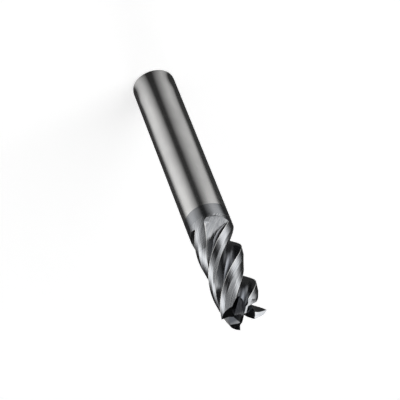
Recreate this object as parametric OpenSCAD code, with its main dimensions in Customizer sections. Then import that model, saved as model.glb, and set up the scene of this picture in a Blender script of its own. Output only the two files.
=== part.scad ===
// Four-flute end mill, ground from one rod of cemented carbide, right-hand cut and right-hand helix.
// It stands on its shank end: the origin is the centre of that end face, and +Z points to the teeth.

/* [Shank] */
// Diameter of the shank
shank_d = 10; // [8:0.5:16]
// Overall length, from the shank end to the corners of the teeth
overall_length = 72; // [55:1:120]
// Chamfer on the edge of the shank end
shank_chamfer = 0.4; // [0.1:0.1:1]

/* [Flutes] */
// Diameter over the cutting edges
cutter_d = 9.97; // [8.47:0.5:11.97]
// Diameter of the solid core between the flutes
core_d = 4.4; // [3.6:0.1:5]
// Length of the cutting edges, from the corners up
edge_length = 23.3; // [18.3:0.5:28.3]
// Angle between the cutting edges and the axis
helix_angle = 39; // [30:1:45]
// Degrees by which the gaps between neighbouring edges differ from a right angle
pitch_shift = 8; // [0:1:10]
// Degrees of the circle that the flutes in the wide gaps open
wide_flute = 48; // [42:1:54]
// Degrees of the circle that the flutes in the narrow gaps open
narrow_flute = 52; // [46:1:56]
// Radial rake angle of the cutting faces
rake_angle = 10; // [2:1:14]
// Depth of the flat part of each cutting face
rake_depth = 1.25; // [0.8:0.05:1.6]

/* [Relief behind the cutting edges] */
// Width of the primary land
primary_land = 1.8; // [1:0.1:2.2]
// Relief angle of the primary land
primary_relief = 9; // [4:0.5:12]
// Relief angle of the land behind it
secondary_relief = 26; // [16:0.5:30]
// Length over which the relief fades into the round blank
relief_fade = 5; // [1:0.5:6]

/* [Flute run-out] */
// Length over which each flute rises out of the blank and widens, up to the end of its edge
runout_length = 5.5; // [4.5:0.25:7]
// Degrees by which the flutes in the wide gaps widen there
wide_spread = 21; // [10:1:24]
// Degrees by which the flutes in the narrow gaps widen there
narrow_spread = 4; // [0:1:10]
// Length of the rounded top of the flutes in the wide gaps, above the edge
wide_dome = 1.3; // [1.1:0.1:2]
// Length of the rounded top of the flutes in the narrow gaps, above the edge
narrow_dome = 0.7; // [0.5:0.1:1]

/* [End teeth] */
// Angle by which the end edges fall towards the centre
dish_angle = 1.5; // [0.5:0.1:3]
// Width of the relief behind each end edge
end_land = 0.9; // [0.5:0.05:1.3]
// Angle of that relief
end_relief = 5; // [3:0.5:8]
// Angle of the clearance behind it
end_clearance = 12; // [9:0.5:20]
// Distance from the centre at which the far wall of each gash crosses the next end edge
gash_reach = 2.45; // [2:0.05:3]
// Angle between that wall and the gash's own end edge, seen from the end
gash_skew = 20; // [10:1:30]
// Angle by which that wall leans from upright
gash_lean = 42; // [34:1:50]
// Angle by which the floor of each gash falls outwards
gash_fall = 45; // [38:1:52]
// Width of the land that the gashes leave behind the two long end edges
long_edge_land = 0.3; // [0.15:0.05:0.6]
// How far the gashes cut through the two short end edges
short_edge_cut = 0.4; // [0.2:0.05:0.7]

/* [Hidden] */
$fn = 96;

TEETH = 4;
cutter_r = cutter_d / 2;
core_r = core_d / 2;
lead = PI * cutter_d / tan(helix_angle);
runout_start = edge_length - runout_length;
primary_width = primary_land / cutter_r * 180 / PI;
// How gently the back of each flute starts to turn outwards, and the flute to widen
LEAN_POWER = 1.75;
SPREAD_POWER = 2;
// Half of what stays open at the very top of each flute, in degrees
APEX = 6;
// How far the ground blank reaches past the flutes, and then into the shank
BLANK_END = 0.5;
JOIN = 0.5;
// Most of a land's width that its primary part takes where the flutes widen
PRIMARY_SHARE = 0.7;
// Most of the back, up to the corner that the round floor cuts off, that the floor may take
MOST_ROUND = 0.95;
// Size of the solids that cut the end teeth
REACH = 3 * cutter_r;

// Faces across each part of one flute and one land, and the least width of the first ones
RAKE_FACES = 2;
FLOOR_FACES = 8;
BACK_FACES = 4;
SECONDARY_FACES = 4;
PRIMARY_FACES = 4;
LEAST_FACE = 0.03;
front_faces = RAKE_FACES + FLOOR_FACES;
flute_faces = front_faces + BACK_FACES;
// Rings along the full flute, the run-out, the shorter tops and the rest of the longer ones
FLUTE_RINGS = 29;
RUNOUT_RINGS = 11;
DOME_RINGS = 6;
LAST_RINGS = 4;

function rad(degrees) = degrees * PI / 180;
function polar(r, angle) = [r * cos(angle), r * sin(angle)];
function turn(p, angle) = [p.x * cos(angle) - p.y * sin(angle), p.x * sin(angle) + p.y * cos(angle)];
function ramp(x, x0, x1) = min(1, max(0, (x - x0) / (x1 - x0)));
function mix(a, b, t) = a + (b - a) * t;

// Flute k lies in front of tooth k: the gaps are narrow and wide by turns, so opposite teeth stay opposite
function is_narrow(k) = k % 2 == 0;
function pitch(k) = 360 / TEETH + (is_narrow(k) ? -pitch_shift : pitch_shift);
function corner(k) = k == 0 ? 0 : corner(k - 1) + pitch(k - 1);
function width(k) = is_narrow(k) ? narrow_flute : wide_flute;
function spread(k) = is_narrow(k) ? narrow_spread : wide_spread;
function dome(k) = is_narrow(k) ? narrow_dome : wide_dome;
function flute_end(k) = edge_length + dome(k);

// Everything below is given at a distance s from the corners, and angles run from the cutting edge
function relief_left(s) = 1 - ramp(s, edge_length - relief_fade, edge_length);

// Radius of the land at an angle behind its cutting edge: each relief keeps a steady angle
function land_r(behind, s) = cutter_r * exp(-relief_left(s) * (
    tan(primary_relief) * rad(min(behind, primary_width))
    + tan(secondary_relief) * rad(max(0, behind - primary_width))));

// The flat rake face and the direction square to it
inward = -polar(1, rake_angle);
across = turn(inward, -90);
edge = [cutter_r, 0];

// The flat back of the full flute runs from the heel to the round floor, which touches the core.
// Its direction is that of its normal.
full_rake = edge + inward * rake_depth;
full_round = (full_rake * full_rake - core_r * core_r) / (2 * (core_r - full_rake * across));
function full_heel(k) = polar(land_r(pitch(k) - width(k), 0), width(k));
function full_lean(k) =
    let (to_heel = full_heel(k) - full_rake - across * full_round)
        atan2(to_heel.y, to_heel.x) + acos(min(1, full_round / norm(to_heel))) - 180;

// Length of the rake face down to where its line meets that of the back
function wall(heel, lean) = (edge - heel) * polar(1, lean) / (-inward * polar(1, lean));

// In the run-out the back turns outwards, until the flute is a plain flat at the end of the edge.
// Above it that flat goes on turning and rises out of the blank.
function top_half(k) = (width(k) + spread(k)) / 2;
function lean_rate(k) = LEAN_POWER * (top_half(k) - full_lean(k)) / runout_length;
function lean(k, s) = s > edge_length ? top_half(k) + lean_rate(k) * (min(s, flute_end(k)) - edge_length)
    : mix(full_lean(k), top_half(k), pow(ramp(s, runout_start, edge_length), LEAN_POWER));
function top_depth(k) = cutter_r * (1 - cos(top_half(k)));
function top_slope(k) =
    cutter_r * sin(top_half(k)) * rad(lean_rate(k) - SPREAD_POWER * spread(k) / runout_length);
function top_r(k, s) = cutter_r
    - top_depth(k) * pow(1 - ramp(s, edge_length, flute_end(k)), top_slope(k) * dome(k) / top_depth(k));
function top_open(k, s) = max(APEX, acos(top_r(k, s) / cutter_r));

// Both sides of a flute's opening, which starts at the cutting edge and ends in a rounded top
function opening_start(k, s) = s <= edge_length ? 0 : lean(k, s) - top_open(k, s);
function opening_end(k, s) = s > edge_length ? lean(k, s) + top_open(k, s)
    : width(k) + spread(k) * pow(ramp(s, runout_start, edge_length), SPREAD_POWER);

// A flute from its cutting edge to the heel of the next tooth: flat rake, round floor, flat back.
// The first faces keep a least width where the rake and the floor fade away.
function flute(k, s) =
    let (
        start = polar(cutter_r, opening_start(k, s)),
        end = opening_end(k, s),
        heel = polar(land_r(pitch(k) - end, s), end),
        lean = lean(k, s),
        wall = s < edge_length ? wall(heel, lean) : 0,
        back_reach = norm(heel - start - inward * wall),
        floor_share = 1 - rake_depth / wall(full_heel(k), full_lean(k)),
        tangent = min(wall * floor_share, back_reach * MOST_ROUND),
        rake = wall - tangent,
        bend = rake_angle + 90 - lean,
        round = tangent / tan(bend / 2),
        centre = start + inward * rake + across * round,
        back_start = centre - polar(round, lean),
        front = rake + round * rad(bend),
        back = norm(heel - back_start),
        back_from = max(front, LEAST_FACE * front_faces)
    )
    [
        for (i = [0 : flute_faces - 1])
            let (
                x = i < RAKE_FACES ? rake * i / RAKE_FACES
                    : i < front_faces ? mix(rake, front, (i - RAKE_FACES) / FLOOR_FACES)
                    : mix(back_from, front + back, (i - front_faces) / BACK_FACES),
                along = i < front_faces ? max(x, LEAST_FACE * i) : x
            )
                along < rake ? start + inward * along
                    : along < front ? centre
                        + polar(round, rake_angle - 90 - bend * (along - rake) / (front - rake))
                    : mix(back_start, heel, (along - front) / back)
    ];

// Past a flute's end its points lie on the blank
function ended_flute(k, s) = [
    for (i = [0 : flute_faces - 1])
        polar(cutter_r, mix(opening_start(k, s), opening_end(k, s), i / flute_faces))
];

// The land from the heel forwards, up to the next cutting edge or, above it, to the next rounded top
function land(k, s) =
    let (
        heel = pitch(k) - opening_end(k, s),
        front = -opening_start(k + 1, s),
        line = s > edge_length ? (heel + front) / 2 : min(primary_width, heel * PRIMARY_SHARE)
    )
    [
        for (i = [0 : SECONDARY_FACES - 1])
            let (behind = mix(heel, line, i / SECONDARY_FACES))
                polar(land_r(behind, s), pitch(k) - behind),
        for (i = [0 : PRIMARY_FACES - 1])
            let (behind = mix(line, front, i / PRIMARY_FACES))
                polar(land_r(behind, s), pitch(k) - behind)
    ];

function ring(s) = [
    for (k = [0 : TEETH - 1])
        for (p = concat(s >= flute_end(k) ? ended_flute(k, s) : flute(k, s), land(k, s)))
            let (q = turn(p, corner(k) - 360 * s / lead))
                [q.x, q.y, overall_length - s]
];

ring_places = [
    for (i = [0 : FLUTE_RINGS - 1]) runout_start * i / FLUTE_RINGS,
    for (i = [0 : RUNOUT_RINGS - 1]) mix(runout_start, edge_length, i / RUNOUT_RINGS),
    for (i = [0 : DOME_RINGS - 1]) mix(edge_length, flute_end(0), sin(90 * i / DOME_RINGS)),
    for (i = [0 : LAST_RINGS]) mix(flute_end(0), flute_end(1), sin(90 * i / LAST_RINGS)),
    flute_end(1) + BLANK_END + JOIN
];

module fluted_blank() {
    rings = [for (s = ring_places) ring(s)];
    around = len(rings[0]);
    last = len(rings) - 1;
    polyhedron(
        points = [for (r = rings) each r],
        faces = [
            [for (i = [0 : around - 1]) around - 1 - i],
            [for (i = [0 : around - 1]) last * around + i],
            for (j = [0 : last - 1])
                for (i = [0 : around - 1])
                    let (
                        a = j * around + i,
                        b = j * around + (i + 1) % around,
                        c = b + around,
                        d = a + around
                    )
                    each [[a, b, d], [b, c, d]]
        ]
    );
}

module shank() {
    r = shank_d / 2;
    top = overall_length - flute_end(1) - BLANK_END;
    rotate_extrude() polygon([
        [0, 0],
        [r - shank_chamfer, 0],
        [r, shank_chamfer],
        [r, top],
        [0, top]
    ]);
}

// All that lies above the XY plane, as far as the end teeth need
module above() {
    translate([-REACH, -REACH, 0]) cube(2 * REACH);
}

// Relief and clearance behind one end edge, which lies along +X with its corner at the cutter's radius.
// They reach back over the whole gap to the edge behind it.
module end_relief_cut(gap) {
    intersection() {
        union() {
            translate([cutter_r, 0, 0])
                rotate([0, -dish_angle, 0])
                    rotate([end_relief, 0, 0])
                        above();
            translate([cutter_r, -end_land, -end_land * tan(end_relief)])
                rotate([0, -dish_angle, 0])
                    rotate([end_clearance, 0, 0])
                        above();
        }
        translate([0, 0, -cutter_r])
            linear_extrude(2 * cutter_r)
                polygon([[0, 0], polar(REACH, -gap), polar(REACH, -gap / 2), [REACH, 0]]);
    }
}

// Gash in front of one end edge, which lies along +X: an upright wall, a falling floor and a leaning
// far wall. The floor starts at a distance behind the next end edge and falls away from it.
module gash_cut(gap, behind_next) {
    intersection() {
        rotate([-90, 0, 0]) above();
        rotate(gap - 90)
            translate([behind_next, 0, 0])
                rotate([0, gash_fall, 0])
                    above();
        translate(concat(polar(gash_reach, gap), 0))
            rotate(gash_skew)
                rotate([90 - gash_lean, 0, 0])
                    above();
    }
}

module end_mill() {
    difference() {
        union() {
            color([0.80, 0.80, 0.78]) shank();
            color([0.33, 0.34, 0.38]) fluted_blank();
        }
        translate([0, 0, overall_length])
            for (k = [0 : TEETH - 1])
                rotate(corner(k)) {
                    end_relief_cut(pitch((k + TEETH - 1) % TEETH));
                    gash_cut(pitch(k), is_narrow(k) ? long_edge_land : -short_edge_cut);
                }
    }
}

end_mill();
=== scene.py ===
"""Looks of the end mill: a ground carbide shank and a dark coated cutting end, on a pale floor.

The CAD node's form is right, but its facets would show in polished metal. So one piece with the
same sections and many more faces stands for it, and its end teeth are cut by the same planes.
"""

import math

import bmesh
import bpy
import numpy as np
from mathutils import Matrix, Vector


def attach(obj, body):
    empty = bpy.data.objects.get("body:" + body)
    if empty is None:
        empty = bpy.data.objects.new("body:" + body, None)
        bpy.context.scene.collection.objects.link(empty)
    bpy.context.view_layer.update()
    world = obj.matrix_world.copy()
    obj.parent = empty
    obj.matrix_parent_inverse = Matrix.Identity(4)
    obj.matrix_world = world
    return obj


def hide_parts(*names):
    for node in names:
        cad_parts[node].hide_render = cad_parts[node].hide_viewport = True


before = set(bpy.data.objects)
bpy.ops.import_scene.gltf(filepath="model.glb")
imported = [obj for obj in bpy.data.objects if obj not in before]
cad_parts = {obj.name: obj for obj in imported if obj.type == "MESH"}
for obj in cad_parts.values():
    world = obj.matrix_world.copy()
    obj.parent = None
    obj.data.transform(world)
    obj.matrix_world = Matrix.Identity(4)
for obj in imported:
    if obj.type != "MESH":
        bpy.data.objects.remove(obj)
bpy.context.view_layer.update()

MM = 0.001

# The tool, in millimetres and degrees, with the values of the CAD source
SHANK_D = 10.0
OVERALL_LENGTH = 72.0
SHANK_CHAMFER = 0.4
CUTTER_R = 9.97 / 2
CORE_R = 4.4 / 2
EDGE_LENGTH = 23.3
HELIX_ANGLE = 39.0
PITCH_SHIFT = 8.0
WIDE_FLUTE = 48.0
NARROW_FLUTE = 52.0
RAKE_ANGLE = 10.0
RAKE_DEPTH = 1.25
PRIMARY_LAND = 1.8
PRIMARY_RELIEF = 9.0
SECONDARY_RELIEF = 26.0
RELIEF_FADE = 5.0
RUNOUT_LENGTH = 5.5
WIDE_SPREAD = 21.0
NARROW_SPREAD = 4.0
WIDE_DOME = 1.3
NARROW_DOME = 0.7
DISH_ANGLE = 1.5
END_LAND = 0.9
END_RELIEF = 5.0
END_CLEARANCE = 12.0
GASH_REACH = 2.45
GASH_SKEW = 20.0
GASH_LEAN = 42.0
GASH_FALL = 45.0
LONG_EDGE_LAND = 0.3
SHORT_EDGE_CUT = 0.4
LEAN_POWER = 1.75
SPREAD_POWER = 2.0
APEX = 6.0
BLANK_END = 0.5
PRIMARY_SHARE = 0.7
MOST_ROUND = 0.95

TEETH = 4
LEAD = math.pi * 2 * CUTTER_R / math.tan(math.radians(HELIX_ANGLE))
PRIMARY_WIDTH = math.degrees(PRIMARY_LAND / CUTTER_R)

# Faces across each part of a flute and a land
RAKE_FACES, FLOOR_FACES, BACK_FACES = 6, 18, 8
SECONDARY_FACES, PRIMARY_FACES = 10, 10
FRONT_FACES = RAKE_FACES + FLOOR_FACES
FLUTE_FACES = FRONT_FACES + BACK_FACES
TOOTH_FACES = FLUTE_FACES + SECONDARY_FACES + PRIMARY_FACES

# Narrowest face, spacing of the rings of points, and gap between the flutes' last and the shank's
# first ring, in millimetres
LEAST_FACE = 0.012
FLUTE_STEP = 0.15
SHANK_STEP = 0.6
SHANK_GAP = 0.02

# Rings of the small rounded tops, rings from there to the end of the large ones, and rings over
# which the shank's points are evened out
DOME_RINGS = 16
LAST_RINGS = 8
EVENING_STEPS = 5

# Angle between two faces, in degrees, above which the edge between them is shaded as sharp
SHARP_ANGLE = 14

# Wear of a point on a heel, where that of a cutting edge is 1, and so its share of the painted
# highlight
HEEL_WEAR_AND_HIGHLIGHT = 0.45

# The end teeth's cutters are cut from a cube of so many cutter radii a side, with this tolerance
CUTTER_CUBE = 8
CUT_TOLERANCE = 1e-6

# Material slots of the piece
SHANK, FLUTE, LAND, TOOTH_END = range(4)


# ---------------------------------------------------------------- sections of the tool


def polar(r, angle):
    a = np.radians(angle)
    return np.stack([r * np.cos(a), r * np.sin(a)], -1)


def is_narrow(k):
    return k % 2 == 0


def pitch(k):
    return 360 / TEETH + (-PITCH_SHIFT if is_narrow(k) else PITCH_SHIFT)


def corner(k):
    return sum(pitch(i) for i in range(k))


def width(k):
    return NARROW_FLUTE if is_narrow(k) else WIDE_FLUTE


def spread(k):
    return NARROW_SPREAD if is_narrow(k) else WIDE_SPREAD


def dome(k):
    return NARROW_DOME if is_narrow(k) else WIDE_DOME


def flute_end(k):
    return EDGE_LENGTH + dome(k)


def ramp(x, x0, x1):
    return min(1.0, max(0.0, (x - x0) / (x1 - x0)))


def land_radius(behind, s):
    """Radius of a land at an angle behind its cutting edge, at a distance s from the corners."""
    left = 1 - ramp(s, EDGE_LENGTH - RELIEF_FADE, EDGE_LENGTH)
    primary = math.tan(math.radians(PRIMARY_RELIEF)) * np.radians(np.minimum(behind, PRIMARY_WIDTH))
    secondary = math.tan(math.radians(SECONDARY_RELIEF)) * np.radians(
        np.maximum(0, behind - PRIMARY_WIDTH)
    )
    return CUTTER_R * np.exp(-left * (primary + secondary))


# The cutting edge, the directions along and square to the flat rake face, its lower end in the full
# flute, and the radius of the floor there
EDGE = polar(CUTTER_R, 0)
INWARD = -polar(1, RAKE_ANGLE)
ACROSS = np.array([INWARD[1], -INWARD[0]])
FULL_RAKE = EDGE + INWARD * RAKE_DEPTH
FULL_ROUND = (FULL_RAKE @ FULL_RAKE - CORE_R**2) / (2 * (CORE_R - FULL_RAKE @ ACROSS))


def full_heel(k):
    return polar(land_radius(pitch(k) - width(k), 0), width(k))


def full_lean(k):
    """Direction of the normal of the flat back in the full flute."""
    to_heel = full_heel(k) - FULL_RAKE - ACROSS * FULL_ROUND
    swing = math.acos(min(1.0, FULL_ROUND / np.linalg.norm(to_heel)))
    return math.degrees(math.atan2(to_heel[1], to_heel[0]) + swing) - 180


def wall(heel, lean):
    """Length of the rake face down to where its line meets that of the back."""
    return (EDGE - heel) @ polar(1, lean) / (-INWARD @ polar(1, lean))


def top_half(k):
    return (width(k) + spread(k)) / 2


def lean_rate(k):
    return LEAN_POWER * (top_half(k) - full_lean(k)) / RUNOUT_LENGTH


def back_lean(k, s):
    """The same direction higher up: the back turns outwards along the run-out."""
    if s > EDGE_LENGTH:
        return top_half(k) + lean_rate(k) * (min(s, flute_end(k)) - EDGE_LENGTH)
    part = ramp(s, EDGE_LENGTH - RUNOUT_LENGTH, EDGE_LENGTH) ** LEAN_POWER
    return full_lean(k) + (top_half(k) - full_lean(k)) * part


def top_open(k, s):
    """Half the angle that the flat top of a flute opens, above the end of its edge."""
    half = math.radians(top_half(k))
    depth = CUTTER_R * (1 - math.cos(half))
    turning = math.radians(lean_rate(k) - SPREAD_POWER * spread(k) / RUNOUT_LENGTH)
    slope = CUTTER_R * math.sin(half) * turning
    left = 1 - ramp(s, EDGE_LENGTH, flute_end(k))
    radius = CUTTER_R - depth * left ** (slope * dome(k) / depth)
    return max(APEX, math.degrees(math.acos(radius / CUTTER_R)))


def opening(k, s):
    """Both sides of a flute, in degrees from its cutting edge."""
    if s <= EDGE_LENGTH:
        part = ramp(s, EDGE_LENGTH - RUNOUT_LENGTH, EDGE_LENGTH) ** SPREAD_POWER
        return 0.0, width(k) + spread(k) * part
    return back_lean(k, s) - top_open(k, s), back_lean(k, s) + top_open(k, s)


def flute_section(k, s):
    """Flat rake, round floor, flat back up to the heel of the next tooth."""
    opened, end = opening(k, s)
    if s >= flute_end(k):
        return polar(CUTTER_R, opened + (end - opened) * np.arange(FLUTE_FACES) / FLUTE_FACES)
    start = polar(CUTTER_R, opened)
    heel = polar(land_radius(pitch(k) - end, s), end)
    lean = back_lean(k, s)
    high = wall(heel, lean) if s < EDGE_LENGTH else 0.0
    reach = np.linalg.norm(heel - start - INWARD * high)
    tangent = min(high * (1 - RAKE_DEPTH / wall(full_heel(k), full_lean(k))), reach * MOST_ROUND)
    rake = high - tangent
    bend = RAKE_ANGLE + 90 - lean
    radius = tangent / math.tan(math.radians(bend / 2))
    centre = start + INWARD * rake + ACROSS * radius
    back_start = centre - polar(radius, lean)
    front = rake + radius * math.radians(bend)
    back = np.linalg.norm(heel - back_start)
    back_from = max(front, LEAST_FACE * FRONT_FACES)
    section = []
    for i in range(FLUTE_FACES):
        if i < RAKE_FACES:
            along = max(rake * i / RAKE_FACES, LEAST_FACE * i)
        elif i < FRONT_FACES:
            along = max(rake + (front - rake) * (i - RAKE_FACES) / FLOOR_FACES, LEAST_FACE * i)
        else:
            along = back_from + (front + back - back_from) * (i - FRONT_FACES) / BACK_FACES
        if along < rake:
            section.append(start + INWARD * along)
        elif along < front:
            turned = bend * (along - rake) / (front - rake)
            section.append(centre + polar(radius, RAKE_ANGLE - 90 - turned))
        else:
            section.append(back_start + (heel - back_start) * (along - front) / back)
    return np.array(section)


def land_section(k, s):
    """From the heel forwards, up to the next cutting edge or, above it, to the next rounded top."""
    heel = pitch(k) - opening(k, s)[1]
    front = -opening(k + 1, s)[0]
    line = (heel + front) / 2 if s > EDGE_LENGTH else min(PRIMARY_WIDTH, heel * PRIMARY_SHARE)
    behind = np.concatenate(
        [
            heel + (line - heel) * np.arange(SECONDARY_FACES) / SECONDARY_FACES,
            line + (front - line) * np.arange(PRIMARY_FACES) / PRIMARY_FACES,
        ]
    )
    return polar(land_radius(behind, s), pitch(k) - behind)


def ring(s):
    """One whole section, turned to where the helix puts it."""
    teeth = []
    for k in range(TEETH):
        a = math.radians(corner(k) - 360 * s / LEAD)
        turn = np.array([[math.cos(a), math.sin(a)], [-math.sin(a), math.cos(a)]])
        teeth.append(np.vstack([flute_section(k, s), land_section(k, s)]) @ turn)
    flat = np.vstack(teeth)
    return np.column_stack([flat, np.full(len(flat), OVERALL_LENGTH - s)])


# ---------------------------------------------------------------- the piece


def blank_mesh():
    """The fluted blank and the shank as one closed mesh in metres, with slots, and wear that also
    marks painted highlights.
    """
    narrow, wide = flute_end(0), flute_end(1)
    quarter = math.pi / 2
    places = list(np.arange(0, EDGE_LENGTH, FLUTE_STEP))
    for i in range(DOME_RINGS):
        places.append(EDGE_LENGTH + NARROW_DOME * math.sin(quarter * i / DOME_RINGS))
    for i in range(LAST_RINGS + 1):
        places.append(narrow + (wide - narrow) * math.sin(quarter * i / LAST_RINGS))
    places.append(wide + BLANK_END)
    rings = [ring(s) for s in places]
    fluted_rings = len(rings)

    # The shank goes on from the flutes' last ring, whose points lie unevenly, and evens them out
    uneven = np.unwrap(np.arctan2(rings[-1][:, 1], rings[-1][:, 0]))
    around = len(uneven)
    even = uneven[0] + 2 * math.pi * np.arange(around) / around
    top = OVERALL_LENGTH - wide - BLANK_END
    r = SHANK_D / 2
    heights = list(np.arange(top - SHANK_GAP, SHANK_CHAMFER, -SHANK_STEP)) + [SHANK_CHAMFER]
    profile = [(r, z) for z in heights] + [(r - SHANK_CHAMFER, 0.0)]
    for step, (radius, z) in enumerate(profile):
        angles = uneven + (even - uneven) * min(1.0, step / EVENING_STEPS)
        x, y = radius * np.cos(angles), radius * np.sin(angles)
        rings.append(np.column_stack([x, y, np.full(around, z)]))

    points = np.vstack(rings) * MM
    i = np.arange(around)
    nxt = (i + 1) % around
    column = i % TOOTH_FACES
    by_column = np.where(column < FLUTE_FACES, FLUTE, LAND)
    quads = []
    slots = []
    for j in range(len(rings) - 1):
        a, b = j * around + i, j * around + nxt
        quads.append(np.column_stack([a, a + around, b + around, b]))
        slots.append(by_column if j < fluted_rings - 1 else np.full(around, SHANK))
    faces = [tuple(q) for q in np.vstack(quads)]
    slots = list(np.concatenate(slots))
    faces.append(tuple(range(around)))
    slots.append(TOOTH_END)
    faces.append(tuple(reversed(range((len(rings) - 1) * around, len(rings) * around))))
    slots.append(SHANK)

    mesh = bpy.data.meshes.new("end_mill_fine")
    mesh.from_pydata([tuple(p) for p in points], [], faces)
    mesh.polygons.foreach_set("material_index", np.array(slots, dtype=np.int32))

    # How worn each point is, and so how much painted highlight it gets: cutting edges most, heels
    # less, the rest not at all
    edge_wear_and_highlight = np.where(column == 0, 1.0, np.where(column == FLUTE_FACES, HEEL_WEAR_AND_HIGHLIGHT, 0.0))
    fluted = np.array(places) < EDGE_LENGTH
    wear_and_highlight = np.zeros((len(rings), around), dtype=np.float32)
    wear_and_highlight[: len(places)] = edge_wear_and_highlight * fluted[:, None]
    mesh.attributes.new("wear_and_highlight", "FLOAT", "POINT").data.foreach_set("value", wear_and_highlight.ravel())
    mesh.update()
    return mesh


def half_space_solid(name, planes):
    """What is left of a big cube behind each plane (point, normal pointing at what goes)."""
    bm = bmesh.new()
    bmesh.ops.create_cube(bm, size=CUTTER_CUBE * CUTTER_R)
    for point, normal in planes:
        everything = bm.verts[:] + bm.edges[:] + bm.faces[:]
        bmesh.ops.bisect_plane(
            bm,
            geom=everything,
            dist=CUT_TOLERANCE,
            plane_co=point,
            plane_no=normal,
            clear_outer=True,
        )
        bmesh.ops.holes_fill(bm, edges=[e for e in bm.edges if e.is_boundary])
    bmesh.ops.recalc_face_normals(bm, faces=bm.faces[:])
    for f in bm.faces:
        f.material_index = TOOTH_END
    mesh = bpy.data.meshes.new(name)
    bm.to_mesh(mesh)
    bm.free()
    return mesh


def above(place):
    """The plane to which a placement lifts the XY plane: what lies above it is kept."""
    return place @ Vector((0, 0, 0)), -(place.to_3x3() @ Vector((0, 0, 1)))


def rotation(degrees, axis):
    return Matrix.Rotation(math.radians(degrees), 4, axis)


def end_cutters():
    """The solids that relieve and gash the four end teeth, as the CAD source has them."""
    cutters = []
    for k in range(TEETH):
        # Behind the edge, as far back as the tooth before it: primary relief, then clearance
        back = math.radians(pitch((k + TEETH - 1) % TEETH))
        axis = Vector((0, 0, 0))
        sector = [
            (axis, Vector((0, 1, 0))),
            (axis, Vector((-math.sin(back), -math.cos(back), 0))),
        ]
        dish = rotation(-DISH_ANGLE, "Y")
        relief = Matrix.Translation((CUTTER_R, 0, 0)) @ dish @ rotation(END_RELIEF, "X")
        drop = END_LAND * math.tan(math.radians(END_RELIEF))
        line = Matrix.Translation((CUTTER_R, -END_LAND, -drop))
        clearance = line @ dish @ rotation(END_CLEARANCE, "X")

        # In front of it: a gash with an upright face, a floor and a far wall
        gap = pitch(k)
        behind_next = LONG_EDGE_LAND if is_narrow(k) else -SHORT_EDGE_CUT
        face = rotation(-90, "X")
        floor_start = rotation(gap - 90, "Z") @ Matrix.Translation((behind_next, 0, 0))
        gash_floor = floor_start @ rotation(GASH_FALL, "Y")
        x, y = polar(GASH_REACH, gap)
        far_start = Matrix.Translation((x, y, 0)) @ rotation(GASH_SKEW, "Z")
        far_wall = far_start @ rotation(90 - GASH_LEAN, "X")
        solids = {
            "relief": [above(relief), *sector],
            "clearance": [above(clearance), *sector],
            "gash": [above(face), above(gash_floor), above(far_wall)],
        }
        place = Matrix.Translation((0, 0, OVERALL_LENGTH)) @ rotation(corner(k), "Z")
        for name, planes in solids.items():
            mesh = half_space_solid(f"{name}_{k + 1}", planes)
            mesh.transform(Matrix.Scale(MM, 4) @ place)
            cutters.append(mesh)
    return cutters


def cut_end_teeth(piece):
    """Takes the end cutters out of the piece and applies the result."""
    for mesh in end_cutters():
        for material in MATERIALS:
            mesh.materials.append(material)
        cutter = bpy.data.objects.new(mesh.name, mesh)
        bpy.context.collection.objects.link(cutter)
        modifier = piece.modifiers.new(mesh.name, "BOOLEAN")
        modifier.operation = "DIFFERENCE"
        modifier.solver = "MANIFOLD"
        modifier.object = cutter
        with bpy.context.temp_override(object=piece, active_object=piece):
            bpy.ops.object.modifier_apply(modifier=modifier.name)
        bpy.data.objects.remove(cutter)
        bpy.data.meshes.remove(mesh)


# ---------------------------------------------------------------- camera's place

CAMERA_AZIMUTH = 15.365
CAMERA_ELEVATION = 40.367
CAMERA_ROLL = 158.383
CAMERA_DISTANCE = 467.95 * MM
CAMERA_TARGET = Vector((-0.505, 0.891, 37.168)) * MM
CAMERA_LENS = 190.0
CAMERA_SENSOR = 36
CAMERA_CLIP = (0.01, 20)


def direction(azimuth, elevation):
    """The unit vector to a place round the tool: azimuth 0 is -Y, counted towards +X."""
    a, e = math.radians(azimuth), math.radians(elevation)
    return Vector((math.sin(a) * math.cos(e), -math.cos(a) * math.cos(e), math.sin(e)))


# ---------------------------------------------------------------- materials

# Colours: the bare carbide and the coating, each with a duller tone, the painted shade of the
# coating deep in the flutes and gashes, and the metal where an edge has worn, painted lighter than
# the bare carbide as a highlight
BARE = (0.412, 0.409, 0.403, 1)
BARE_DULL = (0.362, 0.359, 0.356, 1)
COATING = (0.250, 0.254, 0.261, 1)
COATING_DULL = (0.166, 0.172, 0.181, 1)
COATING_PAINTED_SHADE = (0.095, 0.100, 0.112, 1)
WORN_AND_HIGHLIGHT = (0.531, 0.528, 0.519, 1)

# Noise hardly leaves these spans: a wide one for grinding lines, a narrower one for soft clouds
LINES_SPAN = (0.3, 0.7)
CLOUDS_SPAN = (0.35, 0.65)
LINES_DETAIL = 4.0
CLOUDS_DETAIL = 2.0
NOISE_ROUGHNESS = 0.55

# Waves a millimetre of the grinding lines, their roughness, and their depth in millimetres
SHANK_LINES, SHANK_ROUGH, SHANK_GROOVE = (0.25, 0.25, 14.0), (0.13, 0.22), 0.0012
FLUTE_LINES, FLUTE_ROUGH, FLUTE_GROOVE = (1.8, 1.8, 0.02), (0.13, 0.2), 0.03
LAND_LINES, LAND_ROUGH, LAND_GROOVE = (2.8, 2.8, 0.02), (0.09, 0.16), 0.06
END_LINES, END_ROUGH, END_GROOVE = (3.5, 0.4, 0.4), (0.07, 0.13), 0.01

# Waves a millimetre of the clouds
SHANK_CLOUDS = (0.22, 0.22, 0.12)
COATED_CLOUDS = (0.35, 0.35, 0.2)
END_CLOUDS = (0.5, 0.5, 0.5)

# Where the coating ends on the shank, how far that edge wanders, in what waves, and its softness
COATING_EDGE = 43.8
EDGE_WANDER = 0.12
EDGE_WAVES = (0.6, 0.6, 0.6)
EDGE_SOFTNESS = 0.12

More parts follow.
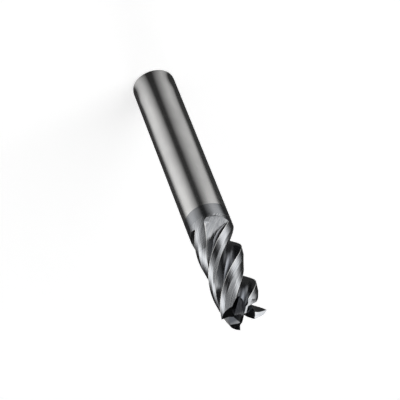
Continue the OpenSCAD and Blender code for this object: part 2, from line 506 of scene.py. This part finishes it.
# Painted shade: the coating takes its darkest colour at the first radius and its own at the
# second, moved by clouds, and on the end teeth at the first and second distance from the end
PAINTED_SHADE_RADII = (2.2, 3.1)
PAINTED_SHADE_CLOUDS = 0.3
END_PAINTED_SHADE_DEPTHS = (0.8, 0.4)

# Noise in these waves is added to the wear, the sum bares the metal over this span, and bare metal
# is so much rougher. The bared metal is painted lighter than the bare carbide, as a highlight.
WEAR_AND_HIGHLIGHT_WAVES = (2.5, 2.5, 1.2)
WEAR_AND_HIGHLIGHT_NOISE = 0.5
WEAR_AND_HIGHLIGHT_SPAN = (0.4, 0.75)
WORN_ROUGH = 0.45


class Nodes:
    """Adds and joins shader nodes of one material or world."""

    def __init__(self, owner):
        owner.use_nodes = True
        self.owner = owner
        self.tree = owner.node_tree
        self.shader = self.tree.nodes.get("Principled BSDF")

    def add(self, kind, **settings):
        node = self.tree.nodes.new("ShaderNode" + kind)
        for name, value in settings.items():
            setattr(node, name, value)
        return node

    def join(self, output, socket):
        """Links an output to an input, or writes a plain value on it."""
        if isinstance(output, (int, float, tuple)):
            socket.default_value = output
        else:
            self.tree.links.new(output, socket)

    def math(self, operation, *values, clamp=False):
        node = self.add("Math", operation=operation, use_clamp=clamp)
        for value, socket in zip(values, node.inputs):
            self.join(value, socket)
        return node.outputs[0]

    def span(self, value, low, high, to_low=0.0, to_high=1.0, shape="LINEAR"):
        """A value's way from low to high, mapped to another span and kept within it."""
        node = self.add("MapRange", clamp=True, interpolation_type=shape)
        for v, socket in zip((value, low, high, to_low, to_high), node.inputs):
            self.join(v, socket)
        return node.outputs[0]

    def blend(self, factor, first, second):
        node = self.add("Mix", data_type="RGBA")
        self.join(factor, node.inputs[0])
        self.join(first, node.inputs[6])
        self.join(second, node.inputs[7])
        return node.outputs[2]

    def position(self, unwind=False):
        """Object coordinates in millimetres, turned back along the helix if asked."""
        place = self.add("VectorMath", operation="SCALE")
        self.join(self.add("TexCoord").outputs["Object"], place.inputs[0])
        place.inputs["Scale"].default_value = 1 / MM
        if not unwind:
            return place.outputs[0]
        parts = self.add("SeparateXYZ")
        self.join(place.outputs[0], parts.inputs[0])
        back = self.add("VectorRotate", rotation_type="Z_AXIS")
        self.join(place.outputs[0], back.inputs["Vector"])
        angle = self.math("MULTIPLY", parts.outputs["Z"], -2 * math.pi / LEAD)
        self.join(angle, back.inputs["Angle"])
        return back.outputs[0]

    def noise(self, place, waves, detail=3.0):
        """Noise of so many waves a millimetre along X, Y and Z."""
        scaled = self.add("VectorMath", operation="MULTIPLY")
        self.join(place, scaled.inputs[0])
        scaled.inputs[1].default_value = waves
        node = self.add("TexNoise")
        self.join(scaled.outputs[0], node.inputs["Vector"])
        node.inputs["Scale"].default_value = 1.0
        node.inputs["Detail"].default_value = detail
        node.inputs["Roughness"].default_value = NOISE_ROUGHNESS
        return node.outputs[0]

    def bump(self, height, depth):
        """Grooves of a depth in millimetres."""
        node = self.add("Bump")
        node.inputs["Strength"].default_value = 1.0
        node.inputs["Distance"].default_value = depth * MM
        self.join(height, node.inputs["Height"])
        self.join(node.outputs[0], self.shader.inputs["Normal"])

    def lobe(self, place, azimuth, elevation, inner, outer, shape):
        """1 within inner degrees of a direction, 0 beyond outer; azimuth from CAMERA_AZIMUTH."""
        ray = self.add("VectorMath", operation="NORMALIZE")
        self.join(place, ray.inputs[0])
        dot = self.add("VectorMath", operation="DOT_PRODUCT")
        self.join(ray.outputs[0], dot.inputs[0])
        dot.inputs[1].default_value = direction(CAMERA_AZIMUTH + azimuth, elevation)
        low, high = math.cos(math.radians(outer)), math.cos(math.radians(inner))
        return self.span(dot.outputs["Value"], low, high, shape=shape)

    def lights(self, place, level, lobes, shape="SMOOTHSTEP"):
        """A plain level with soft lobes of light, or of shade where the strength is negative."""
        for strength, azimuth, elevation, inner, outer in lobes:
            lobe = self.lobe(place, azimuth, elevation, inner, outer, shape)
            level = self.math("MULTIPLY_ADD", lobe, float(strength), level)
        return level


def metal(name):
    m = Nodes(bpy.data.materials.new(name))
    m.shader.inputs["Metallic"].default_value = 1
    return m


def ground_shank():
    """Bare carbide, ground round and round, with the coating's crisp edge near the flutes."""
    m = metal("ground_shank")
    place = m.position()
    lines = m.noise(place, SHANK_LINES, LINES_DETAIL)
    clouds = m.noise(place, SHANK_CLOUDS, CLOUDS_DETAIL)
    bare = m.blend(m.span(clouds, *CLOUDS_SPAN), BARE, BARE_DULL)
    coated = m.blend(m.span(clouds, *CLOUDS_SPAN), COATING, COATING_DULL)
    parts = m.add("SeparateXYZ")
    m.join(place, parts.inputs[0])
    wander = m.math("MULTIPLY", m.noise(place, EDGE_WAVES), EDGE_WANDER)
    height = m.math("ADD", parts.outputs["Z"], wander)
    above_edge = m.span(height, COATING_EDGE, COATING_EDGE + EDGE_SOFTNESS)
    m.join(m.blend(above_edge, bare, coated), m.shader.inputs["Base Color"])
    m.join(m.span(lines, *LINES_SPAN, *SHANK_ROUGH), m.shader.inputs["Roughness"])
    m.bump(lines, SHANK_GROOVE)
    return m.owner


def coated_ground(name, waves, rough, groove):
    """Coated carbide with grinding lines along the helix, bare where the edges have worn.

    Painted shade darkens it deep in the flutes, and the bared edges are painted lighter than the
    bare carbide as a highlight.
    """
    m = metal(name)
    place = m.position(unwind=True)
    lines = m.noise(place, waves, LINES_DETAIL)
    clouds = m.noise(place, COATED_CLOUDS, CLOUDS_DETAIL)
    across = m.add("VectorMath", operation="MULTIPLY")
    m.join(place, across.inputs[0])
    across.inputs[1].default_value = (1, 1, 0)
    radius = m.add("VectorMath", operation="LENGTH")
    m.join(across.outputs[0], radius.inputs[0])
    clouded = m.span(clouds, *LINES_SPAN, -PAINTED_SHADE_CLOUDS, PAINTED_SHADE_CLOUDS)
    depth = m.math("ADD", radius.outputs["Value"], clouded)
    colour = m.blend(m.span(lines, *LINES_SPAN), COATING, COATING_DULL)
    # Painted shade: the coating gets darker deep in the flutes, nearer the axis
    colour = m.blend(m.span(depth, *PAINTED_SHADE_RADII), COATING_PAINTED_SHADE, colour)
    wear_and_highlight = m.add("Attribute", attribute_name="wear_and_highlight").outputs["Fac"]
    wear_and_highlight = m.math("ADD", wear_and_highlight, m.math("MULTIPLY", m.noise(place, WEAR_AND_HIGHLIGHT_WAVES), WEAR_AND_HIGHLIGHT_NOISE))
    wear_and_highlight = m.span(wear_and_highlight, *WEAR_AND_HIGHLIGHT_SPAN)
    # Painted highlight: the bared edges take a metal colour lighter than the bare carbide
    m.join(m.blend(wear_and_highlight, colour, WORN_AND_HIGHLIGHT), m.shader.inputs["Base Color"])
    ground = m.span(lines, *LINES_SPAN, *rough)
    m.join(m.math("MULTIPLY_ADD", wear_and_highlight, WORN_ROUGH, ground), m.shader.inputs["Roughness"])
    m.bump(lines, groove)
    return m.owner


def coated_end_teeth():
    """The flat reliefs and gashes of the end, with straight grinding lines across them, and painted
    shade darker further down from the end.
    """
    m = metal("coated_end_teeth")
    place = m.position()
    lines = m.noise(place, END_LINES, LINES_DETAIL)
    clouds = m.noise(place, END_CLOUDS, CLOUDS_DETAIL)
    colour = m.blend(m.span(clouds, *CLOUDS_SPAN), COATING, COATING_DULL)
    parts = m.add("SeparateXYZ")
    m.join(place, parts.inputs[0])
    deep, full = (OVERALL_LENGTH - depth for depth in END_PAINTED_SHADE_DEPTHS)
    # Painted shade: the end teeth get darker further down from the end, into the gashes
    out_of_painted_shade = m.span(parts.outputs["Z"], deep, full)
    m.join(m.blend(out_of_painted_shade, COATING_PAINTED_SHADE, colour), m.shader.inputs["Base Color"])
    m.join(m.span(lines, *LINES_SPAN, *END_ROUGH), m.shader.inputs["Roughness"])
    m.bump(lines, END_GROOVE)
    return m.owner


# In the order of the piece's slots
MATERIALS = (
    ground_shank(),
    coated_ground("coated_flutes", FLUTE_LINES, FLUTE_ROUGH, FLUTE_GROOVE),
    coated_ground("coated_lands", LAND_LINES, LAND_ROUGH, LAND_GROOVE),
    coated_end_teeth(),
)

piece = bpy.data.objects.new("end_mill_ground", blank_mesh())
bpy.context.collection.objects.link(piece)
for material in MATERIALS:
    piece.data.materials.append(material)
cut_end_teeth(piece)
piece.data.shade_smooth()
piece.data.set_sharp_from_angle(angle=math.radians(SHARP_ANGLE))

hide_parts("end_mill")
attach(piece, "root")

# ---------------------------------------------------------------- camera

camera = bpy.data.objects.new("camera", bpy.data.cameras.new("camera"))
bpy.context.collection.objects.link(camera)
camera.data.sensor_width = CAMERA_SENSOR
camera.data.lens = CAMERA_LENS
to_camera = direction(CAMERA_AZIMUTH, CAMERA_ELEVATION)
camera_place = Matrix.Translation(CAMERA_TARGET + to_camera * CAMERA_DISTANCE)
upright = (-to_camera).to_track_quat("-Z", "Y").to_matrix().to_4x4()
camera.rotation_mode = "QUATERNION"
camera.matrix_world = camera_place @ upright @ rotation(CAMERA_ROLL, "Z")
camera.data.clip_start, camera.data.clip_end = CAMERA_CLIP
bpy.context.scene.camera = camera

# ---------------------------------------------------------------- stage and light

FLOOR_HALF = 3.0
FLOOR_COLOUR = (0.8, 0.8, 0.8, 1)
FLOOR_ROUGH = 0.9
FLOOR_GLOW = 0.62

# Soft lobes of light, or of shade where the strength is negative: strength, azimuth from
# CAMERA_AZIMUTH, elevation, and the degrees from its middle to which it is full and where it ends.
# On the card they go by the direction from the tool's foot, in the world by that of the sky.
CARD_LIGHTS = (
    (1.55, 70, 0, 0, 62),
    (1.06, -68, 0, 0, 62),
    (-2.16, 180, 0, 0, 98),
)
# These only lie close to the tool, full up to the first distance and gone at the second
CLOSE_SHADES = (
    ((8, 24), (-2.40, 180, 0, 0, 125)),
    ((5.5, 10), (-4.80, 180, 0, 0, 140)),
)
# And these only further out, from nothing at the first distance to full at the second
FURTHER_REACH = (55, 90)
FURTHER_LIGHTS = (
    (2.08, 66, 0, 3, 28),
    (2.08, -60, 0, 4, 30),
    (0.96, -105, 0, 12, 40),
)
CARD_DARKEST = 0.06
SKY_LEVEL = 0.256
SKY_LIGHTS = (
    (1.52, -60, 23, 27, 34),
    (-0.21, -8, 26, 14, 26),
    (0.96, -90, 2, 10, 24),
    (0.48, 62, 16, 8, 28),
    (3.04, 176, 24, 9, 15),
    (0.96, 14, 50, 7, 16),
    (-0.24, 172, 54, 18, 24),
)
# Added at the horizon, up to the first height of the sky's direction, and gone at the second
HORIZON_LIGHT = 0.48
HORIZON_HEIGHTS = (0.03, 0.2)

# The cards, in millimetres: the ring's inner and outer radius and height, and the radius of each
# upright one, where it starts and ends in degrees from CAMERA_AZIMUTH, and its top
CARD_RING = (5.2, 400, 0.3)
RING_STEPS = 64
DARK_CARD, DARK_CARD_LEVEL = (400, 104, 156, 210), 0.03
STRIP_LIGHT, STRIP_LIGHT_LEVEL = (390, 46, 70, 85), 3.5
WALL_FOOT = 1
WALL_STEPS = 16


def stage_mesh(name, points, faces, material):
    mesh = bpy.data.meshes.new(name)
    mesh.from_pydata(points, [], faces)
    obj = bpy.data.objects.new(name, mesh)
    bpy.context.collection.objects.link(obj)
    mesh.materials.append(material)
    return obj


def floor_material():
    """White floor that takes shadows, and is white in the picture and in reflections too."""
    m = Nodes(bpy.data.materials.new("floor"))
    m.shader.inputs["Base Color"].default_value = FLOOR_COLOUR
    m.shader.inputs["Roughness"].default_value = FLOOR_ROUGH
    m.shader.inputs["Specular IOR Level"].default_value = 0.0
    m.shader.inputs["Emission Color"].default_value = (1, 1, 1, 1)
    path = m.add("LightPath").outputs
    seen = m.math("ADD", path["Is Camera Ray"], path["Is Glossy Ray"])
    seen = m.math("ADD", seen, path["Is Transmission Ray"], clamp=True)
    m.join(m.math("MULTIPLY", seen, FLOOR_GLOW), m.shader.inputs["Emission Strength"])
    return m.owner


def card_material():
    """Soft card on the floor: dark in front and behind, bright to both sides and further out."""
    m = Nodes(bpy.data.materials.new("card"))
    m.tree.nodes.clear()
    place = m.position()
    distance = m.add("VectorMath", operation="LENGTH")
    m.join(place, distance.inputs[0])
    distance = distance.outputs["Value"]
    total = m.lights(place, 0.0, CARD_LIGHTS, "LINEAR")
    further = m.lights(place, 0.0, FURTHER_LIGHTS)
    further = m.math("MULTIPLY", further, m.span(distance, *FURTHER_REACH))
    total = m.math("ADD", total, further)
    for reach, shade in CLOSE_SHADES:
        shaded = m.lights(place, 0.0, (shade,), "LINEAR")
        total = m.math("MULTIPLY_ADD", shaded, m.span(distance, *reach, 1.0, 0.0), total)
    light = m.add("Emission")
    m.join(m.math("MAXIMUM", total, CARD_DARKEST), light.inputs["Strength"])
    m.join(light.outputs[0], m.add("OutputMaterial").inputs["Surface"])
    return m.owner


def plain_light(name, strength):
    """A surface that only gives light, the same all over."""
    m = Nodes(bpy.data.materials.new(name))
    m.shader.inputs["Base Color"].default_value = (0, 0, 0, 1)
    m.shader.inputs["Specular IOR Level"].default_value = 0.0
    m.shader.inputs["Emission Strength"].default_value = strength
    return m.owner


def card_wall(r, start, end, top):
    """Upright part of a cylinder round the tool."""
    n = WALL_STEPS
    turn = [CAMERA_AZIMUTH + start + (end - start) * i / n for i in range(n + 1)]
    rays = [direction(a, 0) * r * MM for a in turn]
    points = [tuple(ray + Vector((0, 0, z * MM))) for z in (WALL_FOOT, top) for ray in rays]
    faces = [(i, i + 1, n + 2 + i, n + 1 + i) for i in range(n)]
    return points, faces


def card_ring(inner, outer, z):
    """Flat ring round the tool."""
    n = RING_STEPS
    turn = [2 * math.pi * i / n for i in range(n)]
    rays = [Vector((math.cos(a), math.sin(a), 0)) for a in turn]
    points = [tuple((ray * r + Vector((0, 0, z))) * MM) for r in (inner, outer) for ray in rays]
    faces = [(i, (i + 1) % n, n + (i + 1) % n, n + i) for i in range(n)]
    return points, faces


corners = [(x * FLOOR_HALF, y * FLOOR_HALF, 0) for x, y in ((-1, -1), (1, -1), (1, 1), (-1, 1))]
stage_mesh("floor", corners, [(0, 1, 2, 3)], floor_material())

# Only reflections see the cards: the picture, diffuse light and shadows are free of them
dark_material = plain_light("dark_card", DARK_CARD_LEVEL)
strip_material = plain_light("strip_light", STRIP_LIGHT_LEVEL)
for card in (
    stage_mesh("card", *card_ring(*CARD_RING), card_material()),
    stage_mesh("dark_card", *card_wall(*DARK_CARD), dark_material),
    stage_mesh("strip_light", *card_wall(*STRIP_LIGHT), strip_material),
):
    card.visible_camera = False
    card.visible_diffuse = False
    card.visible_transmission = False
    card.visible_shadow = False

world = bpy.data.worlds.new("studio")
bpy.context.scene.world = world
w = Nodes(world)
sky = w.add("TexCoord").outputs["Generated"]
lobes = w.lights(sky, SKY_LEVEL, SKY_LIGHTS)
parts = w.add("SeparateXYZ")
w.join(sky, parts.inputs[0])
height = parts.outputs["Z"]
horizon = w.span(height, *HORIZON_HEIGHTS, HORIZON_LIGHT, 0.0, shape="SMOOTHSTEP")
background = w.tree.nodes["Background"].inputs
background["Color"].default_value = (1, 1, 1, 1)
w.join(w.math("ADD", lobes, horizon), background["Strength"])

bpy.context.scene.view_settings.view_transform = "Standard"
